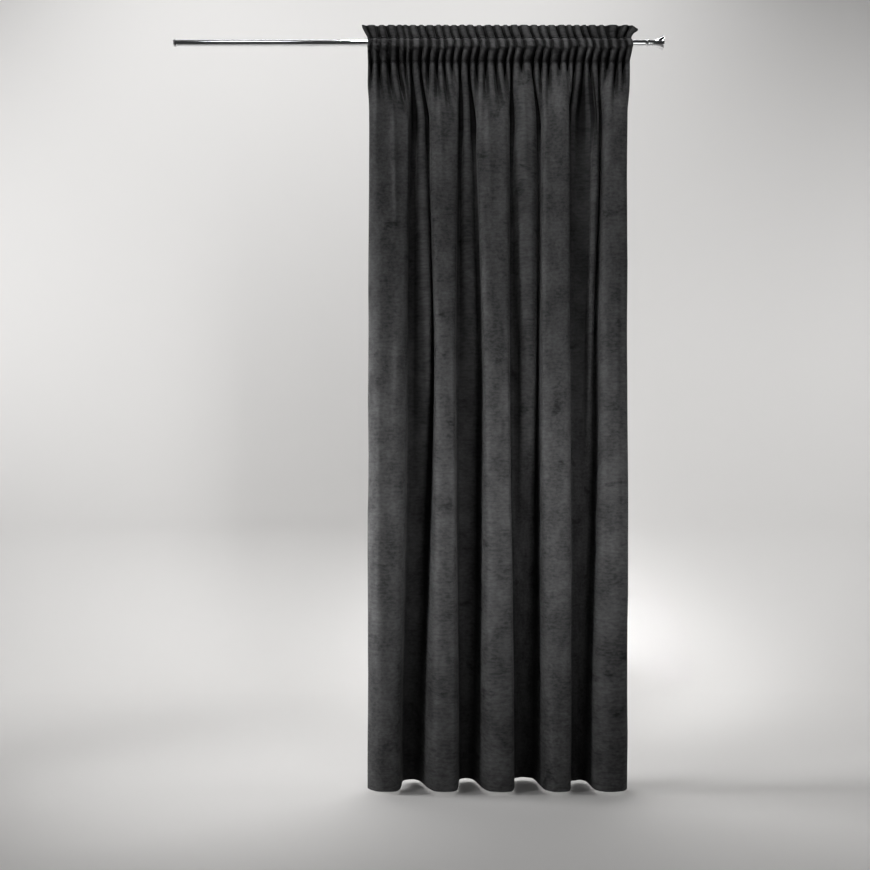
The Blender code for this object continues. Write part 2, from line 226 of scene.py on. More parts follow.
def smooth(start, end, value):
    share = min(max((value - start) / (end - start), 0.0), 1.0)
    return share * share * (3.0 - 2.0 * share)


def rounded(corners, steps):
    # a smooth line that touches the middle of each side of the cornered one
    corners = np.asarray(corners, float)
    middles = 0.5 * (corners[:-1] + corners[1:])
    t = (np.arange(steps) / steps)[:, None]
    pieces = [corners[:1]]
    for before, corner, after in zip(middles[:-1], corners[1:-1], middles[1:]):
        pieces.append((1 - t) ** 2 * before + 2 * t * (1 - t) * corner + t * t * after)
    pieces += [middles[-1:], corners[-1:]]
    return np.vstack(pieces)


def newObject(name, data):
    made = bpy.data.objects.new(name, data)
    bpy.context.scene.collection.objects.link(made)
    return made


def distances(line):
    steps = np.linalg.norm(np.diff(line, axis=0), axis=1)
    return np.concatenate(([0.0], np.cumsum(steps)))


# ---- the cloth across: gathers at the heading, folds below ----

def pleatColumns():
    # each column: its place on the flat cloth and along the rod, its pleat, whether it lies on a
    # gather's floor, how far the gather's mouth draws it along, and the pleat's size
    draw = random.Random(11)
    places = [row[0] for row in pleats]
    marks = [panel["headingLeft"]] + places + [panel["headingRight"]]
    columns = [(0.0, marks[0], 0, 0, 0.0, gather["endSize"])]
    for number, place in enumerate(places):
        size = min(0.5 * (marks[number + 2] - marks[number]) / gather["pitch"], 1.0)
        size *= draw.uniform(gather["smallest"], 1.0)
        centre = (place - marks[0]) * fullness
        for side, isFloor in ((-1, 0), (-1, 1), (1, 1), (1, 0)):
            reach = mouth = 0.5 * gather["floor"] * size
            if not isFloor:
                reach += gather["depth"] * size
                mouth = 0.5 * gather["mouth"] * size
            shift = side * (mouth - reach / fullness)
            along = place + side * reach / fullness
            columns.append((centre + side * reach, along, number, isFloor, shift, size))
    columns.append((panel["flatWidth"], marks[-1], len(pleats) - 1, 0, 0.0, gather["endSize"]))
    return np.array(columns, float).T


flatPlace, rodPlace, pleatOf, isFloor, mouthShift, pleatSize = pleatColumns()
pleatOf = pleatOf.astype(int)
valleyPlace, reachOf = np.array([row[:2] for row in pleats])[pleatOf].T
sideOf = np.sign(flatPlace - (valleyPlace - panel["headingLeft"]) * fullness) * (1.0 - isFloor)
smoothAll = np.vectorize(smooth)

wander = random.Random(5)      # every pleat leans, bulges and stands a little differently
pleatWander = np.array([[wander.uniform(-1, 1) for _ in range(3)] for _ in pleats])[pleatOf]


def foldCorners(height):
    lowered = smooth(drape["top"], panel["hem"], height)
    sloped = smooth(drape["middle"], panel["hem"], height)
    if height > drape["middle"]:
        share, first = smooth(drape["top"], drape["middle"], height), 0
    else:
        share, first = sloped, 2
    edges, runs, sunk = [], [], []
    for row in folds:
        edges.append([row[first + k] + share * (row[first + 2 + k] - row[first + k]) for k in (0, 1)])
        runs.append(0.5 * row[6] * sloped)
        sunk.append(smooth(drape["minorStart"], -row[8], height) if row[8] else 0.0)
    corners = [(edges[0][0] + drape["edgeTuck"], -1.0 + drape["edgeTurn"])]
    for number, row in enumerate(folds):
        deepest, face, softness = row[7], row[9], row[10]
        left, right = edges[number]
        deep = 1.0 + (deepest - 1.0) * lowered
        front = face + (drape["sunkBack"] * deep - face) * sunk[number]
        left += runs[number]
        soft = (softness + drape["hemSofter"] * sloped) * (right - left)
        tight = (drape["tightSide"] + drape["tightSofter"] * lowered) * (right - left)
        isLast = number + 1 == len(folds)
        bulgeLeft = drape["bulgeLeft"] * (1.0 - sunk[number]) if number else drape["edgeBulge"]
        bulgeRight = drape["edgeBulge"] if isLast else drape["bulgeRight"] * (1.0 - sunk[number])
        corners += [(left, front + bulgeLeft), (left + soft, front)]
        corners += [(right - tight, front), (right, front + bulgeRight)]
        if not isLast:
            nextLeft = edges[number + 1][0] - runs[number + 1]
            share = max(sunk[number], sunk[number + 1])
            half = 0.5 * (nextLeft - right) * (drape["floorSpread"] - drape["floorShrink"] * share)
            middle = 0.5 * (right + nextLeft)
            back = deep - drape["floorRise"] * share
            corners += [(middle - half, back), (middle + half, back)]
    corners.append((edges[-1][1] - drape["edgeTuck"], -1.0 + drape["edgeTurn"]))
    return np.array(corners)


def foldedLine(height):
    # as deep as the cloth's width allows, with the opening pleats on the valleys
    corners = foldCorners(height)
    low, high = drape["shallowest"], drape["deepest"]
    for _ in range(drape["tries"]):
        depth = 0.5 * (low + high)
        line = rounded(corners * (1.0, depth), drape["curveSteps"])
        along = distances(line)
        low, high = (depth, high) if along[-1] < panel["flatWidth"] else (low, depth)
    # each valley's middle comes five corners after the first, and then after every six
    anchors = [along[1 + (5 + 6 * valley) * drape["curveSteps"]] for valley in range(len(folds) - 1)]
    opened = [(row[0] - panel["headingLeft"]) * fullness for row in pleats if row[2]]
    at = np.interp(flatPlace, [0.0] + opened + [panel["flatWidth"]], [0.0] + anchors + [along[-1]])
    return np.column_stack([np.interp(at, along, line[:, 0]), np.interp(at, along, line[:, 1])])


def sheetCorners(height, gathered):
    opened = smooth(panel["lowerSeam"], drape["top"], height)
    base = np.column_stack([rodPlace, np.zeros(len(rodPlace))])
    if opened > 0.0:
        base = (1.0 - opened) * base + opened * foldedLine(height)
    across = np.gradient(base, axis=0)
    across /= np.linalg.norm(across, axis=1)[:, None]
    back = np.column_stack([-across[:, 1], across[:, 0]])
    inPocket = smooth(panel["lowerSeam"], gather["puffFrom"], height)
    inPocket *= smooth(panel["upperSeam"], 0.0, height)
    inFrill = smooth(panel["upperSeam"] - frill["start"], panel["frillTop"], height)
    amount = smoothAll(-reachOf, -reachOf + gather["fade"], height)
    slack = 1.0 - smoothAll(gather["slackEnd"] - gather["slackFade"], gather["slackEnd"], valleyPlace)
    amount = amount * (1.0 - gather["slackLoss"] * slack * inPocket)
    depth = gathered * gather["depth"] * pleatSize
    depth = depth * (1.0 + inFrill * (frill["deeper"] + frill["uneven"] * pleatWander[:, 2])
                     + gather["puffUneven"] * inPocket * pleatWander[:, 1])
    out = -0.5 * depth * (1.0 - opened) + depth * amount * isFloor
    shift = mouthShift * amount * (1.0 - opened) * (1.0 + frill["gap"] * inFrill * isFloor)
    line = base + back * out[:, None] + across * shift[:, None]
    lean = knuckles["lean"] * smoothAll(knuckles["leanFrom"], knuckles["leanFull"], rodPlace)
    top = knuckles["height"] + knuckles["heightUneven"] * pleatWander[:, 0]
    lean *= smoothAll(panel["lowerSeam"], top, height)
    lean *= smoothAll(panel["upperSeam"] + knuckles["above"], top, height)
    line[:, 0] += lean * (1.0 + knuckles["leanUneven"] * pleatWander[:, 1])
    line[:, 0] += (frill["lean"] + frill["leanUneven"] * pleatWander[:, 0]) * inFrill
    flare = smoothAll(frill["flareFrom"], panel["headingRight"], rodPlace)
    line[:, 0] += (frill["flare"] - frill["lean"]) * inFrill * flare
    leftFlare = 1.0 - smoothAll(panel["headingLeft"], frill["leftFlareTo"], rodPlace)
    line[:, 0] -= frill["leftFlare"] * inFrill * leftFlare
    return line


def miter(line):
    # the way to the back at every point, longer at a corner so that a layer keeps its thickness
    steps = np.diff(line, axis=0)
    steps /= np.linalg.norm(steps, axis=1)[:, None]
    normals = np.column_stack([-steps[:, 1], steps[:, 0]])
    before = np.vstack([normals[:1], normals])
    after = np.vstack([normals, normals[-1:]])
    turn = np.maximum(1.0 + (before * after).sum(axis=1), 0.6)
    return (before + after) / turn[:, None]


lipShift = knuckles["uneven"] * pleatWander[:, 1] + knuckles["slant"] * sideOf
halfFade = 0.5 * gather["slackFade"]
lipShift *= smoothAll(gather["slackEnd"] - halfFade, gather["slackEnd"] + halfFade, rodPlace)
fineFlat, fineShift, fineFloor, fineReach = rounded(
    np.column_stack([flatPlace, lipShift, isFloor, reachOf]), gather["steps"]).T
turned = np.flatnonzero(fineFlat < panel["sideHem"])[1:][::-1]     # columns of the left side hem
turnedRight = np.flatnonzero(fineFlat > panel["flatWidth"] - panel["sideHem"])[:-1][::-1]
lineCache = {}


def fineLine(height, gathered):
    key = (round(height, 5), round(gathered, 3))
    if key not in lineCache:
        line = rounded(sheetCorners(height, gathered), gather["steps"])
        lineCache[key] = (line, miter(line))
    return lineCache[key]


# ---- the rows of the cloth, from the turned-up hem over the frill to the edge behind the rod ----

rowPlan = {
    "hem": 5,                  # how many rows the turned-up hem has
    "folds": 25,
    "underHeading": 22,
    "foldHeight": 0.0008,      # the hem's fold lies this far above the solid's lower edge
    "foldGap": 0.002,
    "drawnIn": 0.7,            # how much deeper the gathers get towards the lower seam
    "drawnBy": 0.8,
    "pocketSteps": 3,
    "frill": (0.08, 0.20, 0.33, 0.47, 0.61, 0.75, 0.88, 0.97),
    "frillLift": 0.0002,
    "puff": 0.7,               # the frill's two layers bulge apart by this share of a layer
    "belowSeam": 0.004,
}


def clothRows():
    # each row: height, stand-off, then the skin in the middle, at the sides and on the side hems,
    # and how deep the gathers are
    step, rise = panel["layerStep"], panel["frillTop"] - panel["upperSeam"]
    rows, rowOf = [], {}
    bottomFold = panel["hem"] + rowPlan["foldHeight"]
    aboveFold = bottomFold + rowPlan["foldGap"]
    for height in np.linspace(panel["hem"] + panel["bottomHem"], aboveFold, rowPlan["hem"]):
        rows.append((height, 0.0, step, 3 * step, 2 * step, 1.0))
    rowOf["fold"] = len(rows)
    rows.append((bottomFold, 0.0, 0.5 * step, 1.5 * step, 1.2 * step, 1.0))
    for height in np.linspace(aboveFold, drape["top"], rowPlan["folds"])[:-1]:
        rows.append((height, 0.0, 0.0, 0.0, step, 1.0))
    for share in np.linspace(0.0, 1.0, rowPlan["underHeading"])[:-1]:
        height = drape["top"] + (panel["lowerSeam"] - drape["top"]) * share
        gathered = 1.0 + rowPlan["drawnIn"] * smooth(0.0, rowPlan["drawnBy"], share)
        rows.append((height, 0.0, 0.0, 0.0, step, gathered))
    rowOf["lowerFront"] = len(rows)
    for standOff, height, gathered in rounded(pocketShape, rowPlan["pocketSteps"])[:-1]:
        rows.append((height, -standOff, 0.0, 0.0, step, gathered))
    rowOf["upperFront"] = len(rows) - 1
    layers = [(panel["upperSeam"] + rise * share, 0.5 + rowPlan["puff"] * math.sin(math.pi * share ** 0.8))
              for share in rowPlan["frill"]]
    for height, puff in layers:
        rows.append((height, 0.0, -puff * step, -puff * step - step, -puff * step, 1.0))
    rows.append((panel["frillTop"] + rowPlan["frillLift"], 0.0, 0.0, 0.0, 0.0, 1.0))
    for height, puff in layers[::-1]:
        rows.append((height, 0.0, puff * step, puff * step + step, puff * step, 1.0))
    rowOf["upperBack"] = len(rows)
    for standOff, height, gathered in rounded(pocketShape, 1)[::-1]:
        rows.append((height, standOff, 0.0, 0.0, -step, gathered))
    for below in (rowPlan["belowSeam"], panel["seamAllowance"]):
        rows.append((panel["lowerSeam"] - below, 0.0, step, 2 * step, 1.6 * step, pocketShape[0][2]))
    rowOf["lowerBack"] = len(rows) - 2
    return rows, rowOf


# painted shade: the colour is darkened in the floors of the gathers, in the deep valleys between the folds
# and along both seams, where shade falls
paintedShade = {
    "wallShare": 4.0,          # how far up the sides of a gather the painted shade reaches
    "valleyDepth": 0.045,      # how far behind the rod a valley is at its darkest
    "valleyShade": 0.80,
    "seamWidth": 0.0035,
    "seamShade": 0.55,
}


def withHems(middle, hems):
    # the columns of the cloth, between those of its two turned side hems
    return np.concatenate([hems[turned], middle, hems[turnedRight]])


def clothGrid(rows):
    fromEdge = np.minimum(fineFlat, panel["flatWidth"] - fineFlat)
    nearSide = 1.0 - smoothAll(panel["sideHem"], panel["sideHem"] + panel["sideFade"], fromEdge)
    droopFrom, droopTo = panel["headingRight"] + frill["droopFrom"], panel["headingRight"] + frill["flare"]
    shifts = withHems(fineShift, fineShift)
    grid, backs, paintedShades = [], [], []
    for height, standOff, middleSkin, sideSkin, turnedSkin, gathered in rows:
        line, out = fineLine(height, gathered)
        skin = middleSkin + (sideSkin - middleSkin) * nearSide
        centre = line + out * skin[:, None]
        folded = line + out * turnedSkin
        across = withHems(centre, folded)
        backs.append(withHems(out, out))
        inFrill = smooth(panel["upperSeam"], panel["frillTop"], height)
        droop = frill["droop"] * smoothAll(droopFrom, droopTo, across[:, 0])
        droop += frill["wave"] * np.array([noise.noise((x * frill["waves"], 3.1, 0.0)) for x in across[:, 0]])
        droop -= frill["crush"] * across[:, 1]
        drawn = math.exp(-((height - knuckles["lip"]) / (0.5 * knuckles["reach"])) ** 2)
        heights = height - inFrill * droop + drawn * shifts
        forward = frill["forward"] * smooth(frill["forwardFrom"], panel["upperSeam"], height)
        grid.append(np.column_stack([across[:, 0], across[:, 1] + standOff - forward, heights]))

        # painted shade: how much the colour is darkened here, in the floors of the gathers, in the valleys
        # behind the rod and along both seams
        gathers = smoothAll(-fineReach, -fineReach + gather["fade"], height)
        gathers *= np.minimum(paintedShade["wallShare"] * fineFloor, 1.0)
        valleys = smoothAll(0.0, paintedShade["valleyDepth"], line[:, 1])
        valleys *= smooth(panel["lowerSeam"], drape["top"], height)
        seams = sum(math.exp(-((height - panel[seam]) / paintedShade["seamWidth"]) ** 2)
                    for seam in ("upperSeam", "lowerSeam"))
        deep = np.maximum(gathers, paintedShade["valleyShade"] * valleys) + paintedShade["seamShade"] * seams
        paintedShades.append(withHems(np.minimum(deep, 1.0), np.minimum(deep, 1.0)))
    flat = np.concatenate([-fineFlat[turned], fineFlat, 2 * panel["flatWidth"] - fineFlat[turnedRight]])
    return np.array(grid), np.array(backs), np.array(paintedShades), flat


# creases placed one by one on the face of the cloth: where each starts and ends, its width, and how
# far it stands out of the cloth or lies in it
creases = (
    # x, z at the top, x, z at the bottom, width, height
    (-0.380, -0.085, -0.362, -0.640, 0.0085, 0.0050),
    (-0.345, -0.110, -0.334, -0.420, 0.0110, -0.0035),
    (-0.402, -0.100, -0.398, -0.520, 0.0150, -0.0040),
    (-0.430, -0.100, -0.440, -0.420, 0.0100, 0.0030),
    (-0.216, -0.100, -0.196, -0.470, 0.0080, 0.0050),
    (-0.228, -0.100, -0.217, -0.380, 0.0080, -0.0030),
    (-0.172, -0.140, -0.168, -0.260, 0.0110, 0.0045),
    (-0.160, -0.110, -0.152, -0.430, 0.0090, -0.0030),
    (-0.117, -0.170, -0.112, -0.420, 0.0080, 0.0035),
    (-0.048, -0.090, -0.024, -0.520, 0.0080, 0.0050),
    (-0.059, -0.120, -0.044, -0.430, 0.0080, -0.0030),
    (-0.014, -0.110, 0.002, -0.480, 0.0120, -0.0035),
    (0.012, -0.100, 0.024, -0.330, 0.0090, 0.0030),
    (0.087, -0.090, 0.103, -0.460, 0.0100, 0.0050),
    (0.112, -0.150, 0.122, -0.620, 0.0110, -0.0030),
    (0.168, -0.120, 0.176, -0.420, 0.0070, 0.0045),
    (0.196, -0.080, 0.205, -0.300, 0.0120, -0.0030),
    (0.232, -0.090, 0.238, -0.380, 0.0120, 0.0030),
    (0.402, -0.110, 0.398, -0.420, 0.0110, 0.0035),
    (0.428, -0.090, 0.436, -0.300, 0.0100, -0.0035),
    (0.020, -1.180, 0.023, -1.600, 0.0060, -0.0022),
    (0.031, -1.150, 0.034, -1.640, 0.0050, 0.0018),
    (-0.352, -0.950, -0.370, -1.500, 0.0140, 0.0030),
    (-0.190, -1.100, -0.204, -1.900, 0.0200, 0.0025),
    (-0.012, -1.250, -0.020, -2.100, 0.0220, 0.0030),
    (0.205, -0.900, 0.214, -1.700, 0.0180, -0.0025),
    (0.420, -1.000, 0.428, -1.500, 0.0090, 0.0030),
    (0.440, -0.800, 0.438, -2.300, 0.0070, -0.0025),
    (0.392, -1.500, 0.384, -2.200, 0.0180, -0.0028),
    (-0.425, -1.300, -0.420, -2.300, 0.0180, 0.0028),
)

surface = {
    "creaseFade": 0.18,        # a crease fades in and out over about this share of its length
    "swell": 0.0024,           # slow unevenness of the whole cloth
    "swellSize": (0.11, 0.286),
    "quiet": 0.35,             # share of it that is left at the heading
    "quietDown": -0.20,
    "ripple": 0.0007,
    "rippleSize": (0.028, 0.0504),
    "pucker": 0.0013,          # small gathers along both seams of the heading
    "puckerPitch": 0.0115,
    "puckerUneven": 1.3,
    "puckerReach": 0.016,
}


def shapeSurface(grid, backs, flat):
    # move every point square to the cloth by the creases, the puckers and the slow unevenness
    x, z = grid[:, :, 0], grid[:, :, 2]
    facing = np.clip(backs[:, :, 1] * 1.6 - 0.4, 0.0, 1.0)
    facing[grid[:, :, 1] > 0.012] = 0.0
    lift = np.zeros(x.shape)
    for xTop, zTop, xBottom, zBottom, width, height in creases:
        share = np.clip((z - zTop) / (zBottom - zTop), 0.0, 1.0)
        away = (x - xTop - (xBottom - xTop) * share) / width
        run = surface["creaseFade"] * (zTop - zBottom)
        fade = np.clip((zTop - z) / run + 0.3, 0.0, 1.0)
        fade *= np.clip((z - zBottom) / (1.6 * run) + 0.3, 0.0, 1.0)
        lift += height * np.exp(-away * away) * fade * facing
    onCloth = np.where(flat > panel["flatWidth"], 2 * panel["flatWidth"] - flat, np.abs(flat))
    for row in range(len(grid)):
        for column in range(len(flat)):
            u, v = onCloth[column], z[row, column]
            slow = noise.noise((u / surface["swellSize"][0], v / surface["swellSize"][1], 0.7))
            fast = noise.noise((u / surface["rippleSize"][0], v / surface["rippleSize"][1], 5.3))
            loud = smooth(panel["lowerSeam"], surface["quietDown"], v)
            slow *= surface["quiet"] + (1.0 - surface["quiet"]) * loud
            lift[row, column] += surface["swell"] * slow + surface["ripple"] * fast
            for seam in (panel["upperSeam"], panel["lowerSeam"]):
                near = math.exp(-((v - seam) / surface["puckerReach"]) ** 2)
                if near > 0.02:
                    turn = u / surface["puckerPitch"]
                    turn += surface["puckerUneven"] * noise.noise((u * 30.0, seam * 40.0, 9.0))
                    lift[row, column] += surface["pucker"] * near * math.sin(2.0 * math.pi * turn)
    slack = 1.0 - smoothAll(gather["slackEnd"] - gather["slackFade"], gather["slackEnd"], x)
    slack *= grid[:, :, 1] < 0.0
    upPocket = (z - panel["lowerSeam"]) / (panel["upperSeam"] - panel["lowerSeam"])
    slack *= np.sin(np.pi * np.clip(upPocket, 0.0, 1.0))
    acrossWave = np.sin(2.0 * np.pi * (x / knuckles["wrinkleWide"] + z / knuckles["wrinkleSlant"]))
    downWave = np.sin(2.0 * np.pi * (z / knuckles["wrinkleTall"] + knuckles["wrinkleBend"] * acrossWave))
    uneven = 1.0 + knuckles["wrinkleUneven"] * (acrossWave - 1.0)
    lift += knuckles["wrinkle"] * slack * downWave * uneven
    shaped = grid.copy()
    shaped[:, :, :2] -= backs * lift[:, :, None]
    return shaped


def meshFromGrid(name, grid, backs, paintedShades, flat):
    rowCount, columnCount = grid.shape[:2]
    lengths = np.linalg.norm(np.diff(grid[:, columnCount // 2], axis=0), axis=1)
    down = np.concatenate(([0.0], np.cumsum(lengths)))
    mesh = bpy.data.meshes.new(name)
    faces = []
    for row in range(rowCount - 1):
        for a in range(row * columnCount, (row + 1) * columnCount - 1):
            faces.append((a, a + 1, a + columnCount + 1, a + columnCount))
    mesh.from_pydata(grid.reshape(-1, 3).tolist(), [], faces)
    layer = mesh.uv_layers.new(name="clothMap")
    corners = np.empty(len(mesh.loops), dtype=np.int32)
    mesh.loops.foreach_get("vertex_index", corners)
    u = flat[corners % columnCount]
    v = down[corners // columnCount]
    layer.data.foreach_set("uv", np.column_stack([u, v]).astype(np.float32).ravel())
    # a vector towards the room, as long as the painted shade is strong there
    layer = mesh.attributes.new("paintedShade", "FLOAT_VECTOR", "POINT")
    towards = np.dstack([-backs, np.zeros(paintedShades.shape)]) * paintedShades[:, :, None]
    layer.data.foreach_set("vector", towards.astype(np.float32).ravel())
    mesh.shade_smooth()
    return mesh


rows, rowOf = clothRows()
grid, backs, paintedShades, flat = clothGrid(rows)
grid = shapeSurface(grid, backs, flat)
print("cloth grid:", grid.shape[0], "rows of", grid.shape[1])

clothMesh = meshFromGrid("curtainVelvet", grid, backs, paintedShades, flat)
curtain = newObject("curtainVelvet", clothMesh)
thick = curtain.modifiers.new("thick", "SOLIDIFY")
thick.thickness = panel["thickness"]
thick.offset = 0.0


# ---- shader groups ----

def newGroup(name, inputs, outputs):
    group = bpy.data.node_groups.new(name, "ShaderNodeTree")
    for label, kind, value in inputs:
        socket = group.interface.new_socket(name=label, in_out="INPUT", socket_type=kind)
        if value is not None:
            socket.default_value = value
    for label, kind in outputs:
        group.interface.new_socket(name=label, in_out="OUTPUT", socket_type=kind)
    return group, group.nodes.new("NodeGroupInput"), group.nodes.new("NodeGroupOutput")


def fill(tree, node, sockets):
    # every socket named gets a value, or a link from another node's socket
    for label, value in sockets.items():
        if isinstance(value, bpy.types.NodeSocket):
            tree.links.new(value, node.inputs[label])
        else:
            node.inputs[label].default_value = value


def addNode(tree, kind, sockets, **settings):
    node = tree.nodes.new(kind)
    for name, value in settings.items():
        setattr(node, name, value)
    fill(tree, node, sockets)
    return node


def math2(tree, operation, a, b, clamp=False):
    return addNode(tree, "ShaderNodeMath", {0: a, 1: b}, operation=operation, use_clamp=clamp).outputs[0]


def weighted(tree, parts):
    # the sum of the masks, each times its weight
    total = None
    for mask, weight in parts:
        part = math2(tree, "MULTIPLY", mask, weight)
        total = part if total is None else math2(tree, "ADD", total, part)
    return total


def mixColors(tree, share, first, second, blend="MIX"):
    sockets = {"Factor": share, 6: first, 7: second}
    return addNode(tree, "ShaderNodeMix", sockets, data_type="RGBA", blend_type=blend).outputs[2]


def noiseAt(tree, vector, size, detail, roughness=0.5, distortion=0.0):
    # noise whose blotches are about as wide as the size, in metres
    return addNode(tree, "ShaderNodeTexNoise", {
        "Vector": vector, "Scale": math2(tree, "DIVIDE", 1.0, size), "Detail": detail,
        "Roughness": roughness, "Distortion": distortion}).outputs["Fac"]


def remap(tree, value, low, high, toLow=0.0, toHigh=1.0):
    sockets = {"Value": value, "From Min": low, "From Max": high, "To Min": toLow, "To Max": toHigh}
    return addNode(tree, "ShaderNodeMapRange", sockets, interpolation_type="SMOOTHSTEP").outputs["Result"]


def stretch(tree, vector, scale):
    return addNode(tree, "ShaderNodeVectorMath", {0: vector, 1: scale}, operation="MULTIPLY").outputs[0]


def bumped(tree, height, strength, distance):
    sockets = {"Height": height, "Strength": strength, "Distance": distance}
    return addNode(tree, "ShaderNodeBump", sockets).outputs["Normal"]


def pileGroup():
    # brushed pile: broad clouds, crushed flecks, long streaks, bruises and the fine grain of the tufts, with
    # painted shade darkening the colour in the hollows
    tree, given, made = newGroup("velvetPile", (
        ("Map", "NodeSocketVector", None),
        ("Cloud Size", "NodeSocketFloat", 0.07),
        ("Fleck Size", "NodeSocketFloat", 0.011),
        ("Tuft Size", "NodeSocketFloat", 0.0016),
        ("Fleck Amount", "NodeSocketFloat", 0.5),
        ("Bruise Amount", "NodeSocketFloat", 0.5),
        ("Painted Shade", "NodeSocketFloat", 0.0),
        ("Painted Shade Tone", "NodeSocketFloat", 1.0),
        ("Dark", "NodeSocketColor", (0.01, 0.01, 0.01, 1)),
        ("Light", "NodeSocketColor", (0.05, 0.05, 0.05, 1)),
    ), (("Color", "NodeSocketColor"), ("Brushed", "NodeSocketFloat"), ("Height", "NodeSocketFloat")))
    flat = given.outputs["Map"]
    cloudSize, fleckSize = given.outputs["Cloud Size"], given.outputs["Fleck Size"]
    clouds = noiseAt(tree, stretch(tree, flat, (1.0, 0.6, 1.0)), cloudSize, 3.0, 0.55)
    flecks = noiseAt(tree, stretch(tree, flat, (0.8, 1.1, 1.0)), fleckSize, 3.0, 0.55, 0.3)
    streaks = noiseAt(tree, stretch(tree, flat, (0.25, 1.6, 1.0)), fleckSize, 2.0)
    tufts = noiseAt(tree, flat, given.outputs["Tuft Size"], 1.0)
    bruises = noiseAt(tree, stretch(tree, flat, (0.8, 1.0, 1.0)), cloudSize, 2.0, 0.5, 0.8)
    # where each noise turns from dark to light, and what it weighs in the shade and in the height
    cloudMask = remap(tree, clouds, 0.30, 0.70)
    fleckMask = remap(tree, flecks, 0.28, 0.72)
    streakMask = remap(tree, streaks, 0.30, 0.70)
    tuftMask = remap(tree, tufts, 0.25, 0.75)
    bruise = math2(tree, "MULTIPLY", remap(tree, bruises, 0.60, 0.72), given.outputs["Bruise Amount"])
    brushed = weighted(tree, ((fleckMask, given.outputs["Fleck Amount"]), (cloudMask, 0.46),
                              (streakMask, 0.16), (tuftMask, 0.14)))
    brushed = math2(tree, "SUBTRACT", brushed, bruise, clamp=True)
    height = weighted(tree, ((fleckMask, 0.45), (tuftMask, 0.25), (streakMask, 0.30)))
    # painted shade: the dyed colour is scaled down where the cloth is hollow, by the given amount and tone
    darker = math2(tree, "SUBTRACT", 1.0, given.outputs["Painted Shade Tone"])
    darker = math2(tree, "MULTIPLY", darker, given.outputs["Painted Shade"])
    shade = addNode(tree, "ShaderNodeVectorMath", {
        0: mixColors(tree, brushed, given.outputs["Dark"], given.outputs["Light"]),
        "Scale": math2(tree, "SUBTRACT", 1.0, darker, clamp=True)}, operation="SCALE")
    fill(tree, made, {"Color": shade.outputs[0], "Brushed": brushed, "Height": height})
    return tree


def handledGroup():
    # metal that has been handled: cloudy smears, hairlines along one axis and a few dull specks
    tree, given, made = newGroup("handledMetal", (
        ("Place", "NodeSocketVector", None),
        ("Smear Size", "NodeSocketFloat", 0.03),
        ("Hairline Size", "NodeSocketFloat", 0.0006),
        ("Color", "NodeSocketColor", (0.7, 0.7, 0.7, 1)),
        ("Roughness", "NodeSocketFloat", 0.1),
        ("Wear", "NodeSocketFloat", 0.06),
    ), (("Color", "NodeSocketColor"), ("Roughness", "NodeSocketFloat"), ("Height", "NodeSocketFloat")))
    place, smearSize, wear = (given.outputs[label] for label in ("Place", "Smear Size", "Wear"))
    smears = noiseAt(tree, place, smearSize, 3.0, 0.6, 0.5)
    hairlines = noiseAt(tree, stretch(tree, place, (0.03, 1.0, 1.0)), given.outputs["Hairline Size"], 2.0)
    specks = noiseAt(tree, place, math2(tree, "MULTIPLY", smearSize, 0.08), 2.0)
    speckMask = remap(tree, specks, 0.66, 0.76)
    dull = math2(tree, "MAXIMUM", remap(tree, smears, 0.40, 0.70), speckMask)
    rough = math2(tree, "MULTIPLY", dull, wear)
    rough = math2(tree, "ADD", rough, given.outputs["Roughness"], clamp=True)
    fine = math2(tree, "MULTIPLY", remap(tree, hairlines, 0.3, 0.7), wear)
    color = mixColors(tree, math2(tree, "MULTIPLY", speckMask, 0.7), given.outputs["Color"],
                      (0.80, 0.79, 0.78, 1), "MULTIPLY")
    fill(tree, made, {"Color": color, "Roughness": math2(tree, "ADD", rough, fine, clamp=True),
                      "Height": math2(tree, "ADD", hairlines, speckMask)})
    return tree


pile = pileGroup()
handled = handledGroup()


def newMaterial(name):
    material = bpy.data.materials.new(name)
    material.use_nodes = True
    return material, material.node_tree, material.node_tree.nodes["Principled BSDF"]


# ---- velvet ----

velvet = {
    "dark": (0.0170, 0.0170, 0.0175, 1),
    "light": (0.0720, 0.0720, 0.0730, 1),
    "cloudSize": 0.075,
    "fleckSize": 0.012,
    "tuftSize": 0.0017,
    "fleckAmount": 0.34,
    "bruiseAmount": 0.28,
    "paintedShadeTone": 0.16,        # brightness of the painted shade in the hollows as a share of the rest
    "roughness": 0.92,
    "brushedGloss": 0.14,      # brushed pile is less rough by this
    "specular": 0.04,
    "sheen": 0.03,
    "sheenRoughness": 0.42,
    "bump": (0.45, 0.0009),    # strength and depth
}


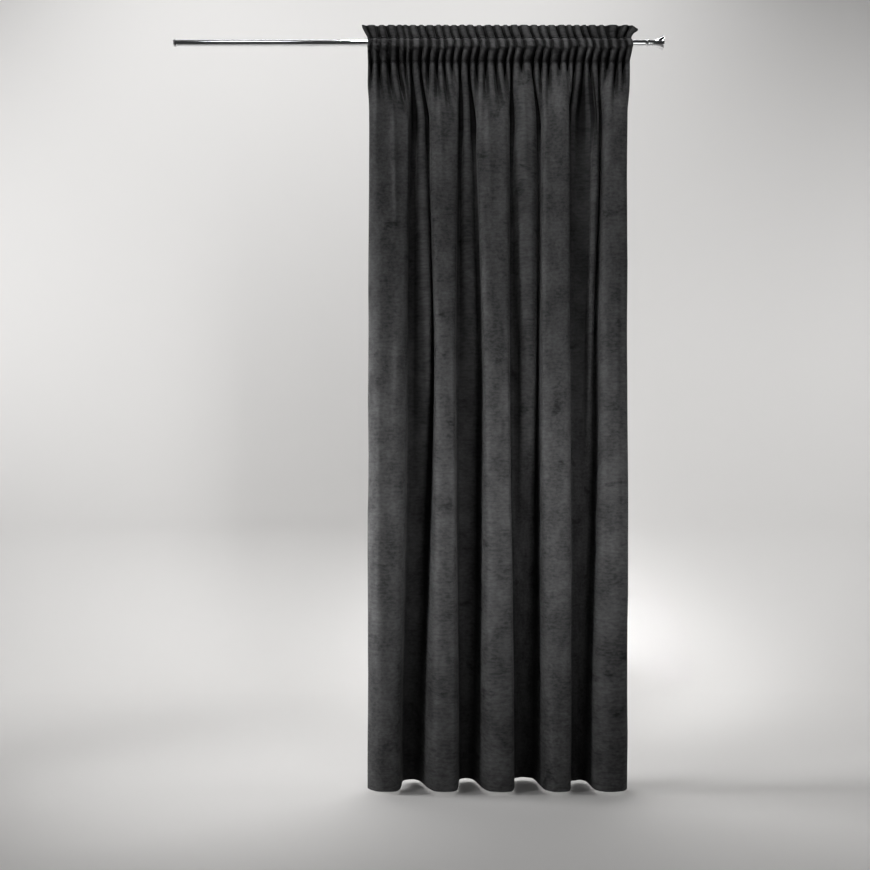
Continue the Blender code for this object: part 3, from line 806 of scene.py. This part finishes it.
def velvetMaterial():
    material, tree, shader = newMaterial("charcoalVelvet")
    # painted shade, only on the side towards the room
    towards = addNode(tree, "ShaderNodeAttribute", {}, attribute_name="paintedShade").outputs["Vector"]
    normal = addNode(tree, "ShaderNodeNewGeometry", {}).outputs["Normal"]
    alike = addNode(tree, "ShaderNodeVectorMath", {0: towards, 1: normal}, operation="DOT_PRODUCT")
    group = addNode(tree, "ShaderNodeGroup", {
        "Map": addNode(tree, "ShaderNodeUVMap", {}, uv_map="clothMap").outputs["UV"],
        "Cloud Size": velvet["cloudSize"], "Fleck Size": velvet["fleckSize"],
        "Tuft Size": velvet["tuftSize"], "Fleck Amount": velvet["fleckAmount"],
        "Bruise Amount": velvet["bruiseAmount"], "Painted Shade Tone": velvet["paintedShadeTone"],
        "Painted Shade": math2(tree, "MAXIMUM", alike.outputs["Value"], 0.0),
        "Dark": velvet["dark"], "Light": velvet["light"]}, node_tree=pile)
    crushed, brushed = velvet["roughness"], velvet["roughness"] - velvet["brushedGloss"]
    fill(tree, shader, {
        "Base Color": group.outputs["Color"],
        "Roughness": remap(tree, group.outputs["Brushed"], 0.0, 1.0, crushed, brushed),
        "Specular IOR Level": velvet["specular"],
        "Sheen Weight": velvet["sheen"],
        "Sheen Roughness": velvet["sheenRoughness"],
        "Normal": bumped(tree, group.outputs["Height"], *velvet["bump"])})
    return material


curtain.data.materials.append(velvetMaterial())
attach(curtain, "root")
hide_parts("velvet_panel")
print("curtain made:", len(clothMesh.vertices), "points")


# ---- stitches along the seams and the turned hems ----

thread = {
    "pitch": 0.0042,
    "length": 0.0032,
    "radius": 0.00026,
    "sink": 0.00025,
    "offSeam": 0.0007,
    "color": (0.020, 0.020, 0.021, 1),
    "lighter": (0.044, 0.044, 0.0462, 1),
    "twist": 0.0006,
    "roughness": 0.6,
    "sheen": 0.2,
    "bump": (0.4, 0.0002),
    "tilt": (0.05, 0.05, 0.12),
    "seed": 4,
}


def threadMaterial():
    material, tree, shader = newMaterial("charcoalThread")
    place = addNode(tree, "ShaderNodeTexCoord", {}).outputs["Object"]
    twist = noiseAt(tree, place, thread["twist"], 1.0)
    fill(tree, shader, {
        "Base Color": mixColors(tree, twist, thread["color"], thread["lighter"]),
        "Roughness": thread["roughness"],
        "Sheen Weight": thread["sheen"],
        "Normal": bumped(tree, twist, *thread["bump"])})
    return material


def stitchTree(material):
    tree = bpy.data.node_groups.new("runningStitch", "GeometryNodeTree")
    sockets = [("Geometry", way, "Geometry") for way in ("INPUT", "OUTPUT")] + [("Seed", "INPUT", "Int")]
    sockets += [(label, "INPUT", "Float") for label in ("Pitch", "Length", "Radius", "Sink")]
    for label, way, kind in sockets:
        tree.interface.new_socket(name=label, in_out=way, socket_type="NodeSocket" + kind)
    given = addNode(tree, "NodeGroupInput", {}).outputs
    path = addNode(tree, "GeometryNodeMeshToCurve", {"Mesh": given["Geometry"]})
    points = addNode(tree, "GeometryNodeResampleCurve", {
        "Curve": path.outputs["Curve"], "Length": given["Pitch"]}, mode="LENGTH")

    # one stitch: a short arc of thread whose ends go into the cloth
    half = math2(tree, "MULTIPLY", given["Length"], 0.5)
    down = math2(tree, "MULTIPLY", given["Sink"], -1.0)
    corners = {}
    for label, x, z in (("Start", math2(tree, "MULTIPLY", half, -1.0), down),
                        ("Middle", 0.0, given["Sink"]), ("End", half, down)):
        corners[label] = addNode(tree, "ShaderNodeCombineXYZ", {"X": x, "Z": z}).outputs[0]
    arc = addNode(tree, "GeometryNodeCurveQuadraticBezier", {"Resolution": 3, **corners})
    section = addNode(tree, "GeometryNodeCurvePrimitiveCircle", {"Resolution": 4, "Radius": given["Radius"]})
    tube = addNode(tree, "GeometryNodeCurveToMesh", {
        "Curve": arc.outputs[0], "Profile Curve": section.outputs[0], "Fill Caps": True})

    # each stitch lies along the seam, on the face of the cloth, a little off line
    tangent = addNode(tree, "GeometryNodeInputTangent", {}).outputs[0]
    along = addNode(tree, "FunctionNodeAlignRotationToVector", {"Vector": tangent}, axis="X")
    facing = addNode(tree, "GeometryNodeInputNamedAttribute", {"Name": "facing"}, data_type="FLOAT_VECTOR")
    upright = addNode(tree, "FunctionNodeAlignRotationToVector", {
        "Rotation": along.outputs[0], "Vector": facing.outputs["Attribute"]}, axis="Z", pivot_axis="X")
    tilt = addNode(tree, "FunctionNodeRandomValue", {
        0: [-most for most in thread["tilt"]], 1: thread["tilt"],
        "Seed": given["Seed"]}, data_type="FLOAT_VECTOR")
    laid = addNode(tree, "FunctionNodeRotateRotation", {
        "Rotation": upright.outputs[0], "Rotate By": tilt.outputs[0]}, rotation_space="LOCAL")
    spread = addNode(tree, "GeometryNodeInstanceOnPoints", {
        "Points": points.outputs["Curve"], "Instance": tube.outputs["Mesh"], "Rotation": laid.outputs[0]})
    solid = addNode(tree, "GeometryNodeRealizeInstances", {0: spread.outputs[0]})
    dressed = addNode(tree, "GeometryNodeSetMaterial", {"Geometry": solid.outputs[0], "Material": material})
    addNode(tree, "NodeGroupOutput", {0: dressed.outputs[0]})
    return tree


def stitchPaths():
    # both seams of the rod pocket, front and back, then the turned hems from behind
    edge = panel["stitchEdge"]
    chains = []
    for name, sign in (("lowerFront", -1), ("upperFront", -1), ("upperBack", 1), ("lowerBack", 1)):
        row = rowOf[name]
        chains.append((grid[row], sign * backs[row]))
    inward = grid[1] - grid[0]
    share = edge / np.linalg.norm(inward, axis=1)[:, None]
    chains.append((grid[0] + inward * share, backs[0]))
    hanging = slice(rowOf["fold"] + 1, rowOf["lowerFront"])
    for column, nextColumn in ((0, 1), (-1, -2)):
        inward = grid[hanging, nextColumn] - grid[hanging, column]
        share = edge / np.linalg.norm(inward, axis=1)[:, None]
        chains.append((grid[hanging, column] + inward * share, backs[hanging, column]))
    points, outward, edges = [], [], []
    for places, facings in chains:
        first = len(points)
        level = np.column_stack([facings, np.zeros(len(facings))])
        points += (places + level * thread["offSeam"]).tolist()
        outward += level.tolist()
        edges += [(k, k + 1) for k in range(first, len(points) - 1)]
    mesh = bpy.data.meshes.new("seamPaths")
    mesh.from_pydata(points, edges, [])
    layer = mesh.attributes.new("facing", "FLOAT_VECTOR", "POINT")
    layer.data.foreach_set("vector", np.array(outward, np.float32).ravel())
    return mesh


def bake(source, name):
    # the evaluated object as a plain mesh in an object of its own
    evaluated = source.evaluated_get(bpy.context.evaluated_depsgraph_get())
    mesh = bpy.data.meshes.new_from_object(evaluated)
    mesh.name = name
    bpy.data.objects.remove(source, do_unlink=True)
    return newObject(name, mesh)


def addStitches():
    paths = newObject("seamPaths", stitchPaths())
    tree = stitchTree(threadMaterial())
    sewn = paths.modifiers.new("sewn", "NODES")
    sewn.node_group = tree
    sizes = {"Pitch": thread["pitch"], "Length": thread["length"], "Radius": thread["radius"],
             "Sink": thread["sink"], "Seed": thread["seed"]}
    for item in tree.interface.items_tree:
        if item.in_out == "INPUT" and item.name in sizes:
            sewn[item.identifier] = sizes[item.name]
    stitches = bake(paths, "seamStitches")
    stitches.data.shade_smooth()
    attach(stitches, "root")
    return stitches


stitches = addStitches()
print("stitches made:", len(stitches.data.polygons), "faces")


# ---- rod, finial and end cap ----

chrome = {"color": (0.80, 0.81, 0.82, 1), "roughness": 0.06, "smearSize": 0.030, "wear": 0.07}
satin = {"color": (0.55, 0.55, 0.56, 1), "roughness": 0.30, "smearSize": 0.012, "wear": 0.12}
metalBump = (0.05, 0.0002)     # strength and depth
tube = {"wall": 0.0008, "chamfer": 0.0004, "edge": 0.0005, "sides": 96}
cap = {"rim": 0.0018, "slope": 0.001, "dish": 0.0006, "edge": 0.0005, "sides": 96}
finial = {
    # the collar: distance from the rod's end and radius at each corner
    "collar": ((0.0, 0.0100), (0.0055, 0.0100), (0.0065, 0.0126), (0.0160, 0.0126), (0.0168, 0.0106),
               (0.0178, 0.0106), (0.0184, 0.0120), (0.0208, 0.0120), (0.0214, 0.0100)),
    "waist": 0.0100,
    "neck": 0.0112,
    "chamfer": 0.0004,
    "lip": 0.0022,
    "dish": 0.006,
    "flarePower": 1.9,
    "rings": 30,
    "edge": 0.0005,
    "sides": 128,
}


def metalMaterial(name, look):
    material, tree, shader = newMaterial(name)
    group = addNode(tree, "ShaderNodeGroup", {
        "Place": addNode(tree, "ShaderNodeTexCoord", {}).outputs["Object"], "Smear Size": look["smearSize"],
        "Color": look["color"], "Roughness": look["roughness"], "Wear": look["wear"]}, node_tree=handled)
    fill(tree, shader, {
        "Base Color": group.outputs["Color"], "Roughness": group.outputs["Roughness"], "Metallic": 1.0,
        "Normal": bumped(tree, group.outputs["Height"], *metalBump)})
    return material


def smoothObject(name, mesh, material):
    data = bpy.data.meshes.new(name)
    mesh.to_mesh(data)
    mesh.free()
    data.shade_smooth()
    data.materials.append(material)
    return newObject(name, data)


def turnedObject(name, profile, steps, material):
    # turned about the rod's axis from pairs of x and radius; a radius of 0 closes an end
    mesh = bmesh.new()
    rings = []
    for x, radius in profile:
        if radius == 0.0:
            rings.append([mesh.verts.new((x, 0.0, 0.0))])
        else:
            turns = [2.0 * math.pi * k / steps for k in range(steps)]
            rings.append([mesh.verts.new((x, radius * math.cos(a), radius * math.sin(a))) for a in turns])
    for ring, following in zip(rings[:-1], rings[1:]):
        for k in range(steps):
            nextOne = (k + 1) % steps
            corners = [ring[k % len(ring)], ring[nextOne % len(ring)],
                       following[nextOne % len(following)], following[k % len(following)]]
            mesh.faces.new(list(dict.fromkeys(corners)))
    bmesh.ops.recalc_face_normals(mesh, faces=mesh.faces)
    made = smoothObject(name, mesh, material)
    made.data.set_sharp_from_angle(angle=math.radians(32))
    return made


def softened(corners, radius):
    # the same profile with every corner rounded off by short cuts
    profile = [corners[0]]
    for before, corner, after in zip(corners[:-2], corners[1:-1], corners[2:]):
        here = Vector(corner)
        back, ahead = Vector(before) - here, Vector(after) - here
        cut = min(radius, 0.45 * back.length, 0.45 * ahead.length)
        start, end = here + back.normalized() * cut, here + ahead.normalized() * cut
        for t in (0.0, 0.33, 0.67, 1.0):
            point = start.lerp(here, t).lerp(here.lerp(end, t), t)
            profile.append((point.x, point.y))
    return profile + [corners[-1]]


def addRod():
    radius = 0.5 * (rodHigh.z - rodLow.z)
    inner = radius - tube["wall"]
    corners = [(rodLow.x, 0.0), (rodLow.x, radius), (rodHigh.x - tube["chamfer"], radius),
               (rodHigh.x, inner), (rodHigh.x, 0.0)]
    return turnedObject("rodTube", softened(corners, tube["edge"]), tube["sides"], chromeMaterial)


def addCap():
    low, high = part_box("end_cap")
    radius = 0.5 * (high.z - low.z)
    corners = [(low.x, 0.0), (low.x + cap["dish"], radius - cap["rim"] - cap["slope"]),
               (low.x, radius - cap["rim"]), (low.x, radius), (high.x, radius), (high.x, 0.0)]
    return turnedObject("plainEndCap", softened(corners, cap["edge"]), cap["sides"], satinMaterial)


def addCollar():
    low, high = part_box("finial_collar")
    corners = [(low.x, 0.0)]
    for along, radius in finial["collar"]:
        corners.append((low.x + along, radius))
    corners += [(high.x, finial["waist"]), (high.x, 0.0)]
    return turnedObject("finialCollar", softened(corners, finial["edge"]), finial["sides"], chromeMaterial)


def addTrumpet():
    low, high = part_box("finial_trumpet")
    mouth = 0.5 * (high.z - low.z)
    flare = high.x - finial["lip"] - low.x
    chamfer, widening = finial["chamfer"], mouth - finial["chamfer"] - finial["neck"]
    profile = [(low.x, 0.0), (low.x, finial["neck"] - chamfer), (low.x + chamfer, finial["neck"])]
    for share in np.linspace(0.03, 1.0, finial["rings"]):
        profile.append((low.x + flare * share, finial["neck"] + widening * share ** finial["flarePower"]))
    lip = 0.5 * finial["lip"]
    for turn in np.linspace(math.pi * 0.45, 0.0, 6):
        profile.append((high.x - lip + lip * math.cos(turn), mouth - lip + lip * math.sin(turn)))
    inner = mouth - finial["lip"]
    profile.append((high.x - 0.0003, inner))
    for share in np.linspace(0.94, 0.06, 12):
        profile.append((high.x - finial["dish"] * (1.0 - share ** 2), inner * share))
    profile.append((high.x - finial["dish"], 0.0))
    return turnedObject("finialTrumpet", profile, finial["sides"], chromeMaterial)


chromeMaterial = metalMaterial("polishedChrome", chrome)
satinMaterial = metalMaterial("satinSteel", satin)
for make, node, slot in ((addRod, "rod", "rod_chrome"), (addCap, "end_cap", "cap_satin"),
                         (addCollar, "finial_collar", "rod_chrome"),
                         (addTrumpet, "finial_trumpet", "rod_chrome")):
    piece = make()
    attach(piece, "root")
    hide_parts(node)
print("rod and finial made")


# ---- floor, light and camera ----

stage = {
    "viewWidth": 3.1424,       # width of the view at the rod
    "distance": 3.2,
    "cameraX": -0.2258,
    "cameraZ": -1.4159,
    "floorGap": 0.010,
    "floorColor": (0.72, 0.71, 0.70, 1),
    "floorRoughness": 0.7,
    "floorSides": 12.0,        # how far it reaches to either side
    "floorFront": -9.0,
    "sweepStart": 1.2,         # where it starts to rise, and how round
    "sweepRadius": 0.8,
    "wallHeight": 6.0,
    "worldStrength": 0.08,
    # the world's tone from straight below to straight above
    "worldTones": ((0.0, 0.50), (0.50, 0.40), (0.56, 0.20), (0.64, 0.75), (0.82, 0.85),
                   (0.90, 0.06), (1.0, 0.03)),
}

# place, the point it shines at, width and height, power, how wide it spreads in degrees
lights = {
    "keyLight": ((1.50, -2.60, -1.60), (0.0, 0.0, -1.60), (0.9, 0.9), 9.5, 180),
    "lowLight": ((0.82, -2.26, -1.65), (0.0, 0.0, -1.62), (0.6, 0.6), 3.3, 44),
    "windowLight": ((-2.54, -1.18, -1.60), (0.0, 0.0, -1.55), (0.6, 1.4), 9.5, 62),
    "rimLight": ((-2.60, 0.0, -1.50), (-0.47, 0.0, -1.50), (0.5, 1.6), 20.0, 70),
    "sideLight": ((-1.40, -1.40, 1.00), (0.0, 0.0, -0.05), (0.6, 0.5), 1.3, 60),
    "headLight": ((-0.28, -1.05, 1.90), (0.0, 0.0, 0.02), (1.0, 0.3), 3.2, 24),
    "wallLeft": ((-4.6, 0.2, -0.4), (-0.4, 2.0, -0.4), (1.2, 3.0), 50.0, 110),
    "wallRight": ((4.4, 0.2, -0.4), (1.2, 2.0, -0.4), (1.2, 3.0), 30.0, 120),
    "wallTop": ((-0.6, 0.9, 2.8), (-0.6, 2.0, -1.4), (4.0, 0.4), 40.0, 80),
}


def addLight(name, place, target, size, power, spread):
    data = bpy.data.lights.new(name, "AREA")
    data.shape = "RECTANGLE"
    data.size, data.size_y = size
    data.energy = power
    data.spread = math.radians(spread)
    light = newObject(name, data)
    light.location = place
    light.rotation_euler = (Vector(target) - Vector(place)).to_track_quat("-Z", "Y").to_euler()


def addFloor():
    # floor with a wall rising behind it in one sweep
    ground = panel["hem"] - stage["floorGap"]
    start, radius = stage["sweepStart"], stage["sweepRadius"]
    profile = [(stage["floorFront"], ground), (start, ground)]
    for turn in np.linspace(0.1, 1.5, 12):
        profile.append((start + radius * math.sin(turn), ground + radius - radius * math.cos(turn)))
    profile.append((start + radius, ground + stage["wallHeight"]))
    mesh = bmesh.new()
    sides = (-stage["floorSides"], stage["floorSides"])
    lines = [[mesh.verts.new((x, y, z)) for y, z in profile] for x in sides]
    for k in range(len(profile) - 1):
        mesh.faces.new((lines[0][k], lines[1][k], lines[1][k + 1], lines[0][k + 1]))
    material, tree, shader = newMaterial("paleFloor")
    fill(tree, shader, {"Base Color": stage["floorColor"], "Roughness": stage["floorRoughness"]})
    # clear from behind, so that the curtain's back can be seen through the wall
    behind = addNode(tree, "ShaderNodeNewGeometry", {}).outputs["Backfacing"]
    clear = addNode(tree, "ShaderNodeBsdfTransparent", {}).outputs["BSDF"]
    either = addNode(tree, "ShaderNodeMixShader", {"Fac": behind, 1: shader.outputs["BSDF"], 2: clear})
    fill(tree, tree.nodes["Material Output"], {"Surface": either.outputs[0]})
    smoothObject("floor", mesh, material)


def addWorld():
    # a dim room: dark straight above, a soft glow half way up, and a mid-grey below
    world = bpy.data.worlds.new("studio")
    world.use_nodes = True
    tree = world.node_tree
    direction = addNode(tree, "ShaderNodeTexCoord", {}).outputs["Generated"]
    upward = addNode(tree, "ShaderNodeSeparateXYZ", {0: direction}).outputs["Z"]
    ramp = addNode(tree, "ShaderNodeValToRGB", {"Fac": remap(tree, upward, -1.0, 1.0)})
    elements = ramp.color_ramp.elements
    elements.remove(elements[1])
    for place, tone in stage["worldTones"]:
        element = elements.new(place) if place else elements[0]
        element.color = (tone, tone, tone * 1.02, 1)
    fill(tree, tree.nodes["Background"], {"Color": ramp.outputs["Color"], "Strength": stage["worldStrength"]})
    bpy.context.scene.world = world


addFloor()
for name, light in lights.items():
    addLight(name, *light)
addWorld()
bpy.context.scene.view_settings.view_transform = "Standard"

cameraData = bpy.data.cameras.new("camera")
cameraData.lens = cameraData.sensor_width * stage["distance"] / stage["viewWidth"]
camera = newObject("camera", cameraData)
camera.location = (stage["cameraX"], -stage["distance"], stage["cameraZ"])
camera.rotation_euler = (math.radians(90), 0, 0)
bpy.context.scene.camera = camera
